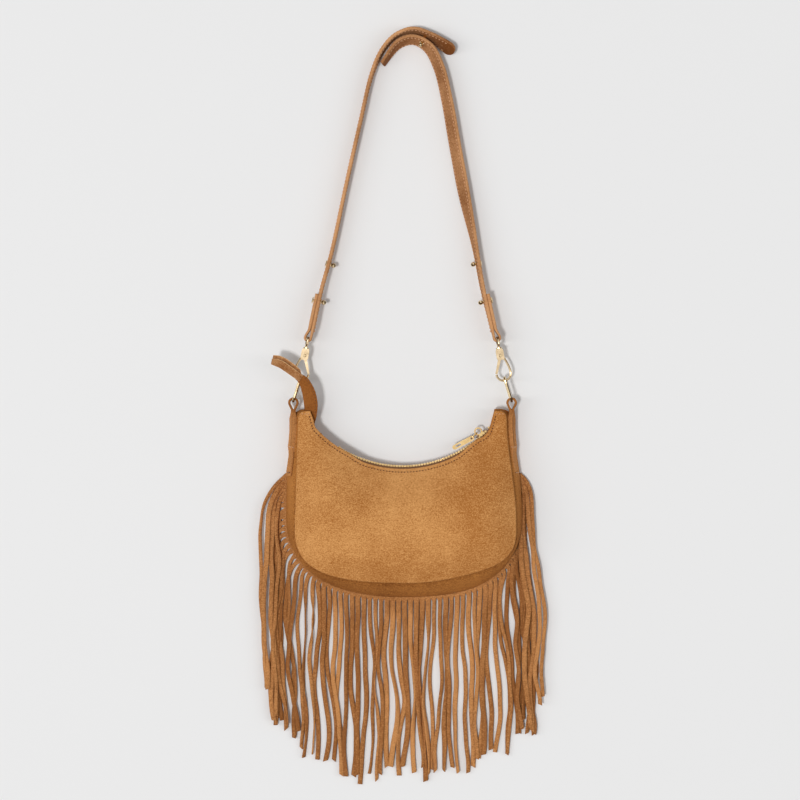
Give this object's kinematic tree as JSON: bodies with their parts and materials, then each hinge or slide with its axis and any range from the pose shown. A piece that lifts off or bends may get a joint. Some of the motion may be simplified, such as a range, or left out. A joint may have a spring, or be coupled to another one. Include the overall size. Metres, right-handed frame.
{
  "type": "fringed suede bag",
  "caption": "Crescent suede shoulder bag lying on its back, with a long cut fringe, a curved zip mouth and a buttoned strap held by swivel snap hooks.",
  "frame": {"origin": "point of the flat back panel that lies on the table, on the bag's middle line, about halfway down the body", "axes": "+Y up the bag towards the top of the strap, +Z out of the front panel, +X to the right seen from the front"},
  "size_m": [0.2836, 0.7633, 0.0553],
  "materials": {
    "suede": "matte",
    "tape": "woven",
    "zip_metal": "polished",
    "pale_gold": "polished"
  },
  "bodies": {
    "bag": {"back_panel": "suede", "front_panel": "suede", "gusset": "suede", "fringe": "suede", "zip_tape_front": "tape", "zip_tape_back": "tape", "zip_stop_left": "zip_metal", "zip_stop_right": "zip_metal", "zip_end_tab": "suede", "ring_tab_left": "suede", "ring_tab_right": "suede", "swivel_eye_left": "pale_gold", "swivel_eye_right": "pale_gold", "end_stud_left_1": "pale_gold", "end_stud_left_2": "pale_gold", "end_stud_right_1": "pale_gold", "end_stud_right_2": "pale_gold", "top_stud": "pale_gold", "strap_left": "suede", "strap_right": "suede"},
    "slider": {"zip_slider": "zip_metal"},
    "pull_link": {"puller_link": "zip_metal"},
    "pull_bar": {"puller_bar": "zip_metal"},
    "ring_left": {"oval_ring_left": "pale_gold"},
    "ring_right": {"oval_ring_right": "pale_gold"},
    "hook_left": {"hook_frame_left": "pale_gold", "gate_rivet_left": "pale_gold"},
    "hook_right": {"hook_frame_right": "pale_gold", "gate_rivet_right": "pale_gold"},
    "gate_left": {"hook_gate_left": "pale_gold"},
    "gate_right": {"hook_gate_right": "pale_gold"}
  },
  "joints": [
    {"name": "zip_run", "type": "hinge", "parent": "bag", "child": "slider", "pos_m": [0, 0.181, 0.0147], "axis": [0, 0, -1], "range_deg": [-1.5, 70]},
    {"name": "link_swing", "type": "hinge", "parent": "slider", "child": "pull_link", "pos_m": [0.07466, 0.09737, 0.0147], "axis": [0, 0, -1], "range_deg": [0, 100]},
    {"name": "bar_swing", "type": "hinge", "parent": "pull_link", "child": "pull_bar", "pos_m": [0.06911, 0.09162, 0.0147], "axis": [0, 0, -1], "range_deg": [0, 60]},
    {"name": "ring_left_swing", "type": "hinge", "parent": "bag", "child": "ring_left", "pos_m": [-0.1092, 0.1288, 0.016], "axis": [0, 0, 1], "range_deg": [-3, 3]},
    {"name": "ring_right_swing", "type": "hinge", "parent": "bag", "child": "ring_right", "pos_m": [0.1092, 0.1288, 0.016], "axis": [0, 0, 1], "range_deg": [-3, 3]},
    {"name": "swivel_left", "type": "hinge", "parent": "bag", "child": "hook_left", "pos_m": [-0.1025, 0.1494, 0.016], "axis": [0.1822, 0.9833, 0], "range_deg": [-20, 20]},
    {"name": "swivel_right", "type": "hinge", "parent": "bag", "child": "hook_right", "pos_m": [0.1025, 0.1494, 0.016], "axis": [-0.1822, 0.9833, 0], "range_deg": [-20, 20]},
    {"name": "gate_left_open", "type": "hinge", "parent": "hook_left", "child": "gate_left", "pos_m": [-0.09787, 0.17438, 0.016], "axis": [0, 0, -1], "range_deg": [0, 28]},
    {"name": "gate_right_open", "type": "hinge", "parent": "hook_right", "child": "gate_right", "pos_m": [0.09787, 0.17438, 0.016], "axis": [0, 0, 1], "range_deg": [0, 28]}
  ]
}
